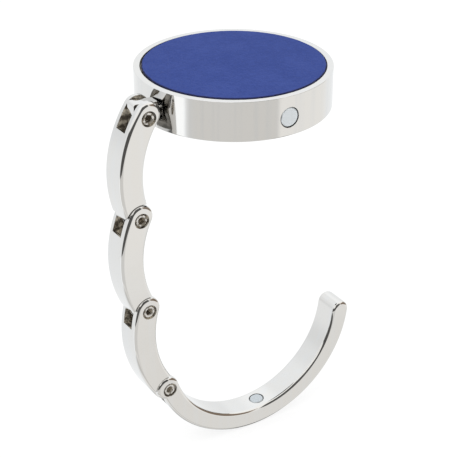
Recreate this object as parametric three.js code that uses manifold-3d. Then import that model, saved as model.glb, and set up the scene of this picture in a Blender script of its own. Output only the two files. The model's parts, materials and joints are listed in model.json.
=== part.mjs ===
// Folding purse hook: a plated disc with a round inlay, a grip pad below, and a swivelling
// chain of three links and a curved hook that folds into a ring round the disc.
// Lengths are in millimetres and angles in degrees.
// The origin is the middle of the grip pad's face, +Z is up, and the chain hangs in an XZ plane.
import * as THREE from 'three';
import { mergeVertices } from 'three/addons/utils/BufferGeometryUtils.js';
import Module from 'manifold-3d';

// Disc: a cast cup, open below, with a shallow seat for the inlay on top
const discRadius = 20;
const discHeight = 8.2;
const topEdgeRound = 0.55;
const bottomEdgeRound = 0.25;
const lipWidth = 1.7;
const inlaySeatDepth = 1;
const deckThickness = 1;
const rimWall = 3.8;
const coverLedge = 1.2;

// Inlay, cover plate, grip pad and the thin film that bonds each of the soft discs
const inlayThickness = 1.1;
const inlayEdgeGap = 0.2;
const inlayEdgeRound = 0.2;
const filmThickness = 0.1;
const filmInset = 0.4;
const coverThickness = 0.6;
const coverEdgeGap = 0.1;
const padThickness = 0.8;
const padStandOut = 0.3;
const padEdgeInset = 0.3;
const padEdgeRound = 0.2;

// Magnets in the rim and in the hook
const rimMagnetDiameter = 3.9;
const rimMagnetLength = 2;
const hookMagnetDiameter = 3.1;
const hookMagnetLength = 1.5;
const magnetSideGap = 0.15;
const magnetEdgeRound = 0.15;

// Chain: widths, thicknesses and the ring that it folds into
const chainWidth = 6.2;
const linkThickness = 5.3;
const hookThickness = 4.3;
const chainEdgeRound = 0.7;
const ringGap = 0.85;
const pinInset = 2.4;
const linkPitchAngle = 54.75;
const hookTipAngle = 155;
const hookMagnetAngle = 77.1;

// Hinges: ears of the lower piece, tongue of the upper piece, and how far each one opens
const slotWidth = 3.3;
const slotDepth = 4.55;
const tongueSideGap = 0.25;
const earLead = 0.55;
const fitGap = 0.3;
const webTop = 2.2;
const noseWidth = 1;
const noseReach = 3.7;
const noseRestAngle = 5;
const swivelHingeAngle = 25.3;
const linkHingeAngle = 45.9;
const hookHingeAngle = 20.3;

// Tubular hinge pins and their recesses
const pinDiameter = 2.2;
const pinPlay = 0.1;
const tongueBorePlay = 0.1;
const pinHeadLip = 0.2;
const pinHeadThickness = 0.35;
const pinHeadInset = 0.2;
const pinHeadChamfer = 0.1;
const pinTubeWall = 0.39;
const pinTubeDepth = 1.6;
const recessSideGap = 0.3;
const recessFloorGap = 0.1;

// Swivel: the block, its shaft through the rim, and the washer and nut that hold it inside
const chainOffset = 3.28;
const swivelRise = 3.8;
const blockFaceReach = 2.35;
const blockFaceDrop = 2.9;
const blockRise = 2.85;
const blockNeckRise = 2.4;
const blockNeckDrop = 1.85;
const blockCornerRound = 0.6;
const blockEdgeRound = 0.35;
const blockUndersideAngle = 240;
const neckRimGap = 0.1;
const shaftDiameter = 2.6;
const shaftPlay = 0.1;
const shaftEndStandOut = 0.4;
const shaftEndChamfer = 0.3;
const nutSeatCut = 0.2;
const washerDiameter = 4.4;
const washerThickness = 0.5;
const washerSpace = 0.15;
const nutAcrossFlats = 3.8;
const nutThickness = 1.6;
const threadGap = 0.1;

// Facets: the angle between steps of a curve, for large and for small rounds
const wideStepAngle = 3;
const tightStepAngle = 15;
const discSides = 80;
const boreSides = 24;
const hexSides = 6;
const edgeSegments = 2;

// One overrun for all cuts, and the distance at which corners count as one
const overrun = 2;
const weld = 0.0001;

// Heights of the disc's pieces, from the face of the grip pad upward
const metalBottom = padStandOut;
const metalTop = metalBottom + discHeight;
const inlaySeat = metalTop - inlaySeatDepth;
const deckUnderside = inlaySeat - deckThickness;
const coverBottom = padThickness + filmThickness;
const coverSeat = coverBottom + coverThickness;
const swivelHeight = metalBottom + swivelRise;

// Radii of the disc's pieces
const inlaySeatRadius = discRadius - lipWidth;
const inlayRadius = inlaySeatRadius - inlayEdgeGap;
const cavityRadius = discRadius - rimWall;
const coverSeatRadius = cavityRadius + coverLedge;
const coverRadius = coverSeatRadius - coverEdgeGap;
const padRadius = coverRadius - padEdgeInset;

// Radii of the folded ring, taken from the disc's axis
const ringInner = discRadius + ringGap;
const linkOuter = ringInner + linkThickness;
const linkMiddle = ringInner + linkThickness / 2;
const hookOuter = ringInner + hookThickness;
const hookMiddle = ringInner + hookThickness / 2;
const pinCircle = ringInner + pinInset;

// Ears and tongues
const tongueWidth = slotWidth - 2 * tongueSideGap;
const earRadius = linkThickness / 2;
const earLeadAngle = toDegrees(Math.asin(earLead / linkMiddle));
const earReach = Math.hypot(pinCircle - linkMiddle * cosine(earLeadAngle), earLead) + earRadius;
const tongueSweep = linkThickness / 2 + fitGap;

// Pin heads and the recesses that they lie in
const pinHeadRadius = pinDiameter / 2 + pinHeadLip;
const recessRadius = pinHeadRadius + recessSideGap;
const recessDepth = pinHeadInset + pinHeadThickness + recessFloorGap;

// The first pin lies on the folded ring's pin circle, beside the disc's axis by the offset
const offsetAngle = toDegrees(Math.asin(chainOffset / pinCircle));
const firstPinX = -pinCircle * cosine(offsetAngle);

const wasm = await Module();
wasm.setup();

function cosine(angle) {
  return Math.cos(THREE.MathUtils.degToRad(angle));
}

function sine(angle) {
  return Math.sin(THREE.MathUtils.degToRad(angle));
}

function toDegrees(radians) {
  return THREE.MathUtils.radToDeg(radians);
}

// Materials

function plating() {
  return new THREE.MeshStandardMaterial({ color: 0xe6e4df, roughness: 0.08, metalness: 1 });
}

function leatherette() {
  return new THREE.MeshStandardMaterial({ color: 0x3a4a96, roughness: 0.6, metalness: 0 });
}

function nickelledMagnet() {
  return new THREE.MeshStandardMaterial({ color: 0xcfdbe2, roughness: 0.3, metalness: 0.9 });
}

function plainSteel() {
  return new THREE.MeshStandardMaterial({ color: 0xb4b2ad, roughness: 0.35, metalness: 1 });
}

function softRubber() {
  return new THREE.MeshStandardMaterial({ color: 0x26262a, roughness: 0.85, metalness: 0 });
}

function bondingFilm() {
  return new THREE.MeshStandardMaterial({ color: 0xe8e2cf, roughness: 0.5, metalness: 0 });
}

// Solids: a closed geometry becomes a solid, and a solid becomes a mesh again

function signedVolume(points, triangles) {
  const [a, b, c] = [new THREE.Vector3(), new THREE.Vector3(), new THREE.Vector3()];
  let total = 0;
  for (let i = 0; i < triangles.length; i += 3) {
    a.fromArray(points, 3 * triangles[i]);
    b.fromArray(points, 3 * triangles[i + 1]);
    c.fromArray(points, 3 * triangles[i + 2]);
    total += a.dot(b.cross(c));
  }
  return total;
}

function solid(geometry) {
  const bare = geometry.clone();
  bare.deleteAttribute('normal');
  bare.deleteAttribute('uv');
  const welded = mergeVertices(bare, weld);
  const points = Float32Array.from(welded.attributes.position.array);
  const corners = welded.index.array;
  const kept = [];
  for (let i = 0; i < corners.length; i += 3) {
    const [a, b, c] = [corners[i], corners[i + 1], corners[i + 2]];
    if (a !== b && b !== c && c !== a) kept.push(a, b, c);
  }
  if (signedVolume(points, kept) < 0) kept.reverse();
  const mesh = new wasm.Mesh({
    numProp: 3,
    vertProperties: points,
    triVerts: Uint32Array.from(kept),
  });
  return new wasm.Manifold(mesh);
}

function named(name, body, material) {
  const mesh = body.getMesh();
  const geometry = new THREE.BufferGeometry();
  geometry.setAttribute('position', new THREE.BufferAttribute(mesh.vertProperties, 3));
  geometry.setIndex(new THREE.BufferAttribute(mesh.triVerts, 1));
  const faceted = geometry.toNonIndexed();
  faceted.computeVertexNormals();
  const piece = new THREE.Mesh(faceted, material);
  piece.name = name;
  return piece;
}

// Points along an arc, both ends included
function arc(centre, radius, from, to, step) {
  const steps = Math.max(2, Math.round(Math.abs(to - from) / step));
  const points = [];
  for (let i = 0; i <= steps; i += 1) {
    const angle = from + (to - from) * i / steps;
    points.push(new THREE.Vector2(centre.x + radius * cosine(angle), centre.y + radius * sine(angle)));
  }
  return points;
}

// A profile of radius and height turned round the Z axis
function turned(profile, sides) {
  const geometry = new THREE.LatheGeometry(profile, sides);
  geometry.rotateX(Math.PI / 2);
  return solid(geometry);
}

// A profile of radius and length turned round the Y axis
function turnedAcross(profile, sides) {
  return solid(new THREE.LatheGeometry(profile, sides));
}

// An outline in the chain's plane, spread to both sides of it, with its edges rounded
function plate(outline, width, round) {
  const geometry = new THREE.ExtrudeGeometry(new THREE.Shape(outline), {
    depth: width - 2 * round,
    steps: 1,
    bevelEnabled: round > 0,
    bevelThickness: round,
    bevelSize: round,
    bevelOffset: -round,
    bevelSegments: edgeSegments,
  });
  geometry.translate(0, 0, round - width / 2);
  geometry.rotateX(Math.PI / 2);
  return solid(geometry);
}

// A round bar across the chain, from one distance to another along Y
function barAcross(centre, radius, from, to) {
  const geometry = new THREE.CylinderGeometry(radius, radius, to - from, boreSides);
  geometry.translate(centre.x, (from + to) / 2, centre.y);
  return solid(geometry);
}

// A round bar along X
function barAlong(y, z, radius, from, to) {
  const geometry = new THREE.CylinderGeometry(radius, radius, to - from, boreSides);
  geometry.rotateZ(Math.PI / 2);
  geometry.translate((from + to) / 2, y, z);
  return solid(geometry);
}

// A disc with its upper and lower edges rounded as asked
function disc(radius, bottom, top, lowerRound, upperRound) {
  const profile = [new THREE.Vector2(0, bottom)];
  profile.push(...edge(radius, bottom + lowerRound, lowerRound, -90, 0));
  profile.push(...edge(radius, top - upperRound, upperRound, 0, 90));
  profile.push(new THREE.Vector2(0, top));
  return turned(profile, discSides);
}

// The profile of one outer edge: a quarter round, or the bare corner
function edge(radius, height, round, from, to) {
  if (round === 0) return [new THREE.Vector2(radius, height)];
  return arc(new THREE.Vector2(radius - round, height), round, from, to, 2 * tightStepAngle);
}

// Disc and what it holds

function discBody() {
  const profile = [
    new THREE.Vector2(0, inlaySeat),
    new THREE.Vector2(inlaySeatRadius, inlaySeat),
    new THREE.Vector2(inlaySeatRadius, metalTop),
    ...edge(discRadius, metalTop - topEdgeRound, topEdgeRound, 90, 0),
    ...edge(discRadius, metalBottom + bottomEdgeRound, bottomEdgeRound, 0, -90),
    new THREE.Vector2(coverSeatRadius, metalBottom),
    new THREE.Vector2(coverSeatRadius, coverSeat),
    new THREE.Vector2(cavityRadius, coverSeat),
    new THREE.Vector2(cavityRadius, deckUnderside),
    new THREE.Vector2(0, deckUnderside),
  ];
  const y = -chainOffset;
  const shaftBore = barAlong(
    y, swivelHeight, shaftDiameter / 2 + shaftPlay, -discRadius - overrun, -cavityRadius + rimWall);
  const washerSeat = barAlong(
    y, swivelHeight, washerDiameter / 2 + washerSpace, washerSeatX(), -cavityRadius + rimWall);
  return turned(profile, discSides)
    .subtract(shaftBore)
    .subtract(washerSeat)
    .subtract(rimMagnetPocket());
}

// Inside, the washer bears on a flat cut into the cavity's wall
function washerSeatX() {
  return -cavityRadius - nutSeatCut;
}

// The rim magnet's flat face meets the round rim at the magnet's own edge
function rimMagnetFace() {
  return Math.sqrt(discRadius ** 2 - (rimMagnetDiameter / 2) ** 2);
}

function rimMagnetPocket() {
  const floor = rimMagnetFace() - rimMagnetLength;
  return barAcross(
    new THREE.Vector2(0, swivelHeight), rimMagnetDiameter / 2 + magnetSideGap,
    -discRadius - overrun, -floor);
}

// A short round magnet with softened edges, its face at the lower end of Y
function magnet(diameter, length) {
  const radius = diameter / 2;
  return new THREE.LatheGeometry([
    new THREE.Vector2(0, 0),
    new THREE.Vector2(radius - magnetEdgeRound, 0),
    new THREE.Vector2(radius, magnetEdgeRound),
    new THREE.Vector2(radius, length),
    new THREE.Vector2(0, length),
  ], boreSides);
}

// Chain pieces. Each is drawn with its upper pin at the origin and the folded ring's
// centre straight along +X, so the piece runs downward from its pin.

function onRing(radius, angle) {
  return new THREE.Vector2(pinCircle - radius * cosine(angle), -radius * sine(angle));
}

function alongRing(radius, from, to) {
  const steps = Math.max(2, Math.round(Math.abs(to - from) / wideStepAngle));
  const points = [];
  for (let i = 0; i <= steps; i += 1) points.push(onRing(radius, from + (to - from) * i / steps));
  return points;
}

// Neighbouring arcs share their end points, and each is kept once
function joined(...runs) {
  const points = [];
  for (const point of runs.flat()) {
    const last = points.at(-1);
    if (!last || last.distanceTo(point) > weld) points.push(point);
  }
  if (points[0].distanceTo(points.at(-1)) <= weld) points.pop();
  return points;
}

function linkOutline() {
  return joined(
    alongRing(linkOuter, -earLeadAngle, linkPitchAngle),
    arc(onRing(linkMiddle, linkPitchAngle), linkThickness / 2,
      180 + linkPitchAngle, 360 + linkPitchAngle, tightStepAngle),
    alongRing(ringInner, linkPitchAngle, -earLeadAngle),
    arc(onRing(linkMiddle, -earLeadAngle), earRadius, -earLeadAngle, 180 - earLeadAngle, tightStepAngle),
  );
}

// The hook's ear is as thick as a link, and runs round to the thinner bow
function hookOutline() {
  const turn = toDegrees(Math.acos(
    (hookOuter ** 2 - linkMiddle ** 2 - earRadius ** 2) / (2 * linkMiddle * earRadius)));
  const meeting = toDegrees(Math.asin(earRadius * sine(turn) / hookOuter)) - earLeadAngle;
  return joined(
    alongRing(hookOuter, meeting, hookTipAngle),
    arc(onRing(hookMiddle, hookTipAngle), hookThickness / 2,
      180 + hookTipAngle, 360 + hookTipAngle, tightStepAngle),
    alongRing(ringInner, hookTipAngle, -earLeadAngle),
    arc(onRing(linkMiddle, -earLeadAngle), earRadius,
      -earLeadAngle, 180 - earLeadAngle + turn, tightStepAngle),
  );
}

// The fork's slot: open above and on the outer face, and closed below the pin on the inner
// face by a web, whose side is the stop that the tongue's nose comes up against
function forkSlot() {
  const far = linkThickness + overrun;
  const offset = noseWidth / 2 + fitGap;
  const startAngle = -toDegrees(Math.asin(webTop / tongueSweep));
  const endAngle = noseRestAngle - 90 + toDegrees(Math.asin(offset / tongueSweep));
  const run = (slotDepth + offset * sine(noseRestAngle)) / cosine(noseRestAngle);
  const foot = new THREE.Vector2(
    run * sine(noseRestAngle) + offset * cosine(noseRestAngle), -slotDepth);
  const outline = joined(
    [new THREE.Vector2(far, far), new THREE.Vector2(-far, far), new THREE.Vector2(-far, -slotDepth)],
    [foot],
    arc(new THREE.Vector2(), tongueSweep, endAngle, startAngle, tightStepAngle / 2),
    [new THREE.Vector2(far, -webTop)],
  );
  return plate(outline, slotWidth, 0);
}

// Bores for the pin in both ears, each with a recess for the pin's head
function earBores() {
  const pin = new THREE.Vector2();
  const half = chainWidth / 2;
  return barAcross(pin, pinDiameter / 2 + pinPlay, -half - overrun, half + overrun)
    .add(barAcross(pin, recessRadius, -half - overrun, -half + recessDepth))
    .add(barAcross(pin, recessRadius, half - recessDepth, half + overrun));
}

// The sides beside a tongue are cut back in a hollow round the ears of the piece below
function shoulderCut(pin) {
  const reach = earReach + fitGap;
  const half = chainWidth / 2;
  return barRound(pin, reach, -half - overrun, -tongueWidth / 2)
    .add(barRound(pin, reach, tongueWidth / 2, half + overrun));
}

// As a bar across the chain, with finer sides for a hollow that shows
function barRound(centre, radius, from, to) {
  const geometry = new THREE.CylinderGeometry(radius, radius, to - from, 2 * boreSides);
  geometry.translate(centre.x, (from + to) / 2, centre.y);
  return solid(geometry);
}

// The nose on a tongue's end, which stops the hinge from opening further
function nose(pin, angle) {
  const forward = new THREE.Vector2(cosine(angle), sine(angle));
  const aside = new THREE.Vector2(-forward.y, forward.x).multiplyScalar(noseWidth / 2);
  const tip = forward.clone().multiplyScalar(noseReach).add(pin);
  return plate([
    pin.clone().sub(aside),
    tip.clone().sub(aside),
    tip.clone().add(aside),
    pin.clone().add(aside),
  ], tongueWidth, 0);
}

function tongueBore(pin) {
  const half = tongueWidth / 2;
  return barAcross(pin, pinDiameter / 2 + tongueBorePlay, -half - overrun, half + overrun);
}

function link(lowerOpening) {
  const lowerPin = onRing(pinCircle, linkPitchAngle);
  return plate(linkOutline(), chainWidth, chainEdgeRound)
    .subtract(forkSlot())
    .subtract(earBores())
    .subtract(shoulderCut(lowerPin))
    .add(nose(lowerPin, linkPitchAngle - 90 - lowerOpening + noseRestAngle))
    .subtract(tongueBore(lowerPin));
}

// Where the hook's magnet sits: its pocket is bored square to the inner face
function hookMagnetPlace(body) {
  body.rotateZ(-Math.PI / 2);
  body.translate(hookMagnetFace(), 0, 0);
  body.rotateY(Math.PI + THREE.MathUtils.degToRad(-hookMagnetAngle));
  body.translate(pinCircle, 0, 0);
  return body;
}

function hookMagnetFace() {
  return Math.sqrt(ringInner ** 2 - (hookMagnetDiameter / 2) ** 2);
}

function hook() {
  const depth = hookMagnetLength + fitGap;
  const radius = hookMagnetDiameter / 2 + magnetSideGap;
  const pocket = new THREE.CylinderGeometry(radius, radius, depth + overrun, boreSides);
  pocket.translate(0, (depth - overrun) / 2, 0);
  return plate(hookOutline(), chainWidth, chainEdgeRound)
    .subtract(forkSlot())
    .subtract(earBores())
    .subtract(solid(hookMagnetPlace(pocket)));
}

function hookMagnet() {
  return solid(hookMagnetPlace(magnet(hookMagnetDiameter, hookMagnetLength)));
}

// A tubular pin, its open end to the front, with a flat head in each ear's recess
function hingePin() {
  const end = chainWidth / 2 - pinHeadInset;
  const under = end - pinHeadThickness;
  const head = pinHeadRadius;
  const shaft = pinDiameter / 2;
  const bore = shaft - pinTubeWall;
  return turnedAcross([
    new THREE.Vector2(0, end),
    new THREE.Vector2(head - pinHeadChamfer, end),
    new THREE.Vector2(head, end - pinHeadChamfer),
    new THREE.Vector2(head, under),
    new THREE.Vector2(shaft, under),
    new THREE.Vector2(shaft, -under),
    new THREE.Vector2(head, -under),
    new THREE.Vector2(head, pinHeadChamfer - end),
    new THREE.Vector2(head - pinHeadChamfer, -end),
    new THREE.Vector2(bore, -end),
    new THREE.Vector2(bore, pinTubeDepth - end),
    new THREE.Vector2(0, pinTubeDepth - end),
  ], boreSides);
}

// Swivel

// The block between the first link's ears: a flat outer face, a top that falls towards the
// rim, and a round underside. It runs past the neck's end, where it is cut off square.
function blockOutline() {
  const pastNeck = blockNeckEnd() + overrun;
  const fall = (blockRise - blockNeckRise) / (blockNeckEnd() + blockFaceReach);
  const round = linkThickness / 2;
  const lowest = -toDegrees(Math.asin(blockNeckDrop / round));
  const corner = new THREE.Vector2(
    blockCornerRound - blockFaceReach, blockRise - blockCornerRound);
  return joined(
    [new THREE.Vector2(pastNeck, -blockNeckDrop)],
    [new THREE.Vector2(pastNeck, blockNeckRise - fall * overrun)],
    arc(corner, blockCornerRound, 90 - toDegrees(Math.atan(fall)), 180, tightStepAngle),
    [new THREE.Vector2(-blockFaceReach, -blockFaceDrop)],
    arc(new THREE.Vector2(), round, blockUndersideAngle, 360 + lowest, tightStepAngle),
  );
}

// What is cut off beyond the neck, towards the rim
function pastNeckEnd() {
  const near = blockNeckEnd();
  const far = near + 2 * overrun;
  const reach = linkThickness;
  return plate([
    new THREE.Vector2(near, -reach),
    new THREE.Vector2(far, -reach),
    new THREE.Vector2(far, reach),
    new THREE.Vector2(near, reach),
  ], tongueWidth + overrun, 0);
}

// How far the neck's end lies from the first pin, towards the rim
function blockNeckEnd() {
  return -discRadius - neckRimGap - firstPinX;
}

function shaftEnd() {
  return washerSeatX() + washerThickness + nutThickness + shaftEndStandOut;
}

function swivelBlock() {
  const foldedDown = -90 - offsetAngle;
  const length = shaftEnd() - firstPinX;
  const shaft = new THREE.LatheGeometry([
    new THREE.Vector2(0, blockNeckEnd() - neckRimGap - overrun / 2),
    new THREE.Vector2(shaftDiameter / 2, blockNeckEnd() - neckRimGap - overrun / 2),
    new THREE.Vector2(shaftDiameter / 2, length - shaftEndChamfer),
    new THREE.Vector2(shaftDiameter / 2 - shaftEndChamfer, length),
    new THREE.Vector2(0, length),
  ], boreSides);
  shaft.rotateZ(-Math.PI / 2);
  return plate(blockOutline(), tongueWidth, blockEdgeRound)
    .subtract(pastNeckEnd())
    .add(nose(new THREE.Vector2(), foldedDown - swivelHingeAngle + noseRestAngle))
    .add(solid(shaft))
    .subtract(tongueBore(new THREE.Vector2()));
}

// A flat ring round the shaft, placed along X from its nearer face
function ringAlong(outer, inner, from, thickness) {
  const hole = barAlong(-chainOffset, swivelHeight, inner, from - overrun, from + thickness + overrun);
  return barAlong(-chainOffset, swivelHeight, outer, from, from + thickness).subtract(hole);
}

function swivelWasher() {
  return ringAlong(washerDiameter / 2, shaftDiameter / 2 + threadGap, washerSeatX(), washerThickness);
}

function swivelNut() {
  const from = washerSeatX() + washerThickness;
  const corner = nutAcrossFlats / 2 / cosine(180 / hexSides);
  const hexagon = new THREE.CylinderGeometry(corner, corner, nutThickness, hexSides);
  hexagon.rotateZ(Math.PI / 2);
  hexagon.translate(from + nutThickness / 2, -chainOffset, swivelHeight);
  const hole = barAlong(
    -chainOffset, swivelHeight, shaftDiameter / 2 + threadGap, from - overrun,
    from + nutThickness + overrun);
  return solid(hexagon).subtract(hole);
}

// Assembly: the disc stands still, and each chain piece hangs in the frame of the one above

const purseHook = new THREE.Group();

purseHook.add(named('disc_body', discBody(), plating()));
purseHook.add(named('inlay_film',
  disc(inlayRadius - filmInset, inlaySeat, inlaySeat + filmThickness, 0, 0), bondingFilm()));
purseHook.add(named('inlay',
  disc(inlayRadius, inlaySeat + filmThickness, inlaySeat + filmThickness + inlayThickness,
    0, inlayEdgeRound), leatherette()));
purseHook.add(named('cover_plate', disc(coverRadius, coverBottom, coverSeat, 0, 0), plainSteel()));
purseHook.add(named('grip_pad_film',
  disc(padRadius - filmInset, padThickness, coverBottom, 0, 0), bondingFilm()));
purseHook.add(named('grip_pad', disc(padRadius, 0, padThickness, padEdgeRound, 0), softRubber()));

const rimMagnet = named('rim_magnet',
  solid(magnet(rimMagnetDiameter, rimMagnetLength)), nickelledMagnet());
rimMagnet.position.set(0, -rimMagnetFace(), swivelHeight);
purseHook.add(rimMagnet);

purseHook.add(named('swivel_washer', swivelWasher(), plainSteel()));
purseHook.add(named('swivel_nut', swivelNut(), plainSteel()));

const chain = new THREE.Group();
chain.position.set(firstPinX, -chainOffset, swivelHeight);
chain.add(named('swivel_block', swivelBlock(), plating()));
purseHook.add(chain);

// One chain piece with its upper pin, turned from the folded ring by how far its hinge opens
function hang(parent, place, foldedAngle, opening, pieceName, body, pinName) {
  const group = new THREE.Group();
  group.position.set(place.x, 0, place.y);
  group.rotation.y = -THREE.MathUtils.degToRad(foldedAngle - opening);
  group.add(named(pieceName, body, plating()));
  group.add(named(pinName, hingePin(), plating()));
  parent.add(group);
  return group;
}

const atLowerPin = onRing(pinCircle, linkPitchAngle);
const first = hang(chain, new THREE.Vector2(), -offsetAngle, swivelHingeAngle,
  'link_1', link(linkHingeAngle), 'hinge_pin_1');
const second = hang(first, atLowerPin, linkPitchAngle, linkHingeAngle,
  'link_2', link(linkHingeAngle), 'hinge_pin_2');
const third = hang(second, atLowerPin, linkPitchAngle, linkHingeAngle,
  'link_3', link(hookHingeAngle), 'hinge_pin_3');
const bow = hang(third, atLowerPin, linkPitchAngle, hookHingeAngle,
  'hook', hook(), 'hinge_pin_4');
bow.add(named('hook_magnet', hookMagnet(), nickelledMagnet()));

export default purseHook;
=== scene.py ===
# %% [markdown]
# # A folding purse hook
#
# The hook is a plated metal disc that stands on a table, with a blue leatherette inlay on top.
# Three short curved links and a long curved bow hang from its side, and fold into a ring round it.
# Almost all of it is mirror-polished metal, so this lesson is mostly about two things: surfaces
# whose shading is smooth enough to reflect well, and a studio that gives them something to reflect.
#
# The solids come from the packed frame. A step either dresses one of those solids with a finish,
# or makes a finer piece that stands for it and sits in the same place.

# %% Load the packed frame
import json
import math

import bmesh
import bpy
import numpy as np
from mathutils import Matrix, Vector


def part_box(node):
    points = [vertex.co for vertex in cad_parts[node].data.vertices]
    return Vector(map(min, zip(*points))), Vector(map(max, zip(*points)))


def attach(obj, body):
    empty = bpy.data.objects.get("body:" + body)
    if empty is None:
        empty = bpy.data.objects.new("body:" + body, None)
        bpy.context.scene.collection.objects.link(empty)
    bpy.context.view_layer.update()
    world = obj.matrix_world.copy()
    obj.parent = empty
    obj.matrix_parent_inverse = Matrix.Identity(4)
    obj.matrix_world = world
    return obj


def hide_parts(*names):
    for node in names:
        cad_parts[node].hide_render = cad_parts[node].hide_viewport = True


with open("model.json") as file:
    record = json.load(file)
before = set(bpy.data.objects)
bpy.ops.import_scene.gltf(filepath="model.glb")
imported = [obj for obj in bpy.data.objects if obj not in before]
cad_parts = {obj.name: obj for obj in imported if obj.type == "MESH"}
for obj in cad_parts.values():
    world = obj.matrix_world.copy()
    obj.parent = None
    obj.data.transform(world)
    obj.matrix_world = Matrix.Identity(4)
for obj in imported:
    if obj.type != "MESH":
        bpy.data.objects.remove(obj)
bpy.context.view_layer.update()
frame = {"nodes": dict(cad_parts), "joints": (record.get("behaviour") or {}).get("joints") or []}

# %% [markdown]
# ## Places
#
# Lengths are in metres, as Blender and the frame have them, and small ones are written as so many
# millimetres. Places could be typed in again, but they would part from the solids when those
# change. So they are read from the frame: the disc's radius and the links' width from their boxes,
# and the hinge axes from the joints. That way a finer piece sits where its solid does.

# %% Places read from the frame
MM = 0.001

joint_at = {joint["name"]: Vector(joint["pos_m"]) for joint in frame["joints"]}
disc_low, disc_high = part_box("disc_body")
disc_radius = (disc_high.x - disc_low.x) / 2
disc_top = disc_high.z
chain_y = joint_at["hinge_1"].y
link_low, link_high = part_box("link_2")
link_width = link_high.y - link_low.y
lowest = min(low.z for low, high in map(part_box, frame["nodes"]))
print("disc radius mm:", round(disc_radius / MM, 2), "chain plane y mm:", round(chain_y / MM, 2))
print("lowest point mm:", round(lowest / MM, 2))

# %% [markdown]
# ## The camera
#
# The photograph looks down on the hook from a little more than a quarter of a right angle, with a
# long lens from about a quarter of a metre. A camera can be placed by eye, but a few degrees show.
# So these numbers were found by fitting the ellipses of the disc and the centres of the pins. The
# camera looks at a point a little below the disc.

# %% Camera at the photograph's viewing angle
view_azimuth = math.radians(-32.4)
view_elevation = math.radians(28.4)
view_distance = 265.1 * MM
view_target = Vector((-9.18 * MM, -12.83 * MM, -20.57 * MM))
lens_mm = 104.5
sensor_mm = 36
nearest_seen = 10 * MM

towards_camera = Vector((
    math.sin(view_azimuth) * math.cos(view_elevation),
    -math.cos(view_azimuth) * math.cos(view_elevation),
    math.sin(view_elevation),
))
camera_data = bpy.data.cameras.new("photo camera")
camera_data.lens = lens_mm
camera_data.sensor_width = sensor_mm
camera_data.clip_start = nearest_seen
camera = bpy.data.objects.new("photo camera", camera_data)
camera.location = view_target + view_distance * towards_camera
camera.rotation_euler = (-towards_camera).to_track_quat("-Z", "Y").to_euler()
bpy.context.collection.objects.link(camera)
bpy.context.scene.camera = camera
print("camera mm:", [round(value / MM, 1) for value in camera.location])

# %% [markdown]
# ## Node maths as Python
#
# A finish is a small program. It could be put together node by node, but that is long to write and
# hard to read. So one class wraps an output socket and turns + - * into Math nodes, and another
# adds any other node in one call. A recipe is then a short function that gives the values of the
# main shader's sockets.

# %% A wire that does arithmetic, a bench that adds nodes, and a maker of finishes
class Wire:
    """One output socket. Arithmetic on it adds Math nodes and gives the result as a new wire."""

    def __init__(self, bench, socket):
        self.bench = bench
        self.socket = socket

    def math(self, operation, *operands):
        """Any operation of the Math node on the operands, which are wires or numbers."""
        inputs = dict(enumerate(operands))
        return self.bench.add("ShaderNodeMath", {"operation": operation}, inputs)

    def __add__(self, other):
        return self.math("ADD", self, other)

    __radd__ = __add__

    def __sub__(self, other):
        return self.math("SUBTRACT", self, other)

    def __rsub__(self, other):
        return self.math("SUBTRACT", other, self)

    def __mul__(self, other):
        return self.math("MULTIPLY", self, other)

    __rmul__ = __mul__

    def step(self, low, high):
        """0 below low and 1 above high, with a smooth rise between them."""
        settings = {"interpolation_type": "SMOOTHSTEP"}
        return self.bench.add("ShaderNodeMapRange", settings, {0: self, 1: low, 2: high})


class Bench:
    """A node tree, and the methods that add a node to it."""

    def __init__(self, tree):
        self.tree = tree
        tree.nodes.clear()

    def add(self, kind, settings=None, inputs=None, output=0):
        """A node with its settings, and a value or a wire for each input that is named."""
        node = self.tree.nodes.new(kind)
        for name, value in (settings or {}).items():
            setattr(node, name, value)
        for name, value in (inputs or {}).items():
            if isinstance(value, Wire):
                self.tree.links.new(value.socket, node.inputs[name])
            else:
                node.inputs[name].default_value = value
        return Wire(self, node.outputs[output]) if node.outputs else node

    def outputs(self, kind, inputs=None):
        """All outputs of a new node, each as a wire under its own name."""
        node = self.add(kind, inputs=inputs).socket.node
        return {socket.name: Wire(self, socket) for socket in node.outputs}


def make_finish(name, recipe, *details):
    """A material. The recipe gives the main shader's sockets, or else a whole shader."""
    material = bpy.data.materials.new(name)
    material.use_nodes = True
    bench = Bench(material.node_tree)
    shader = recipe(bench, *details)
    if isinstance(shader, dict):
        shader = bench.add("ShaderNodeBsdfPrincipled", inputs=shader)
    bench.add("ShaderNodeOutputMaterial", inputs={"Surface": shader})
    print("finish:", name, "nodes:", len(material.node_tree.nodes))
    return material


print("a wire knows:", [name for name in vars(Wire) if not name.startswith("__")], "and + - *")

# %% [markdown]
# ## Patterns that the finishes share
#
# A picture could carry a pattern, but it has seams and a fixed size. Noise worked out from a place
# has neither. A pattern reads Object coordinates, which are metres on the part, so its scale is
# "features per metre", and the helper below takes the width of a feature instead.

# %% Noise, stretched noise, bump and mixed colours
def place(bench):
    """Object coordinates, in metres."""
    return bench.add("ShaderNodeTexCoord", output=3)


def cloud(bench, feature, detail=2, stretch=(1, 1, 1), roughness=0.5):
    """Smooth noise from 0 to 1 whose features are about so many metres wide, along X, Y and Z."""
    scale = tuple(1 / (feature * factor) for factor in stretch)
    moved = bench.add("ShaderNodeMapping", inputs={0: place(bench), 3: scale})
    inputs = {"Vector": moved, "Scale": 1, "Detail": detail, "Roughness": roughness}
    return bench.add("ShaderNodeTexNoise", inputs=inputs)


def bump(bench, height, depth, strength=1):
    """A normal from a height of 0 to 1 that stands for so many metres."""
    inputs = {"Strength": strength, "Distance": depth, "Height": height}
    return bench.add("ShaderNodeBump", inputs=inputs)


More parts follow.
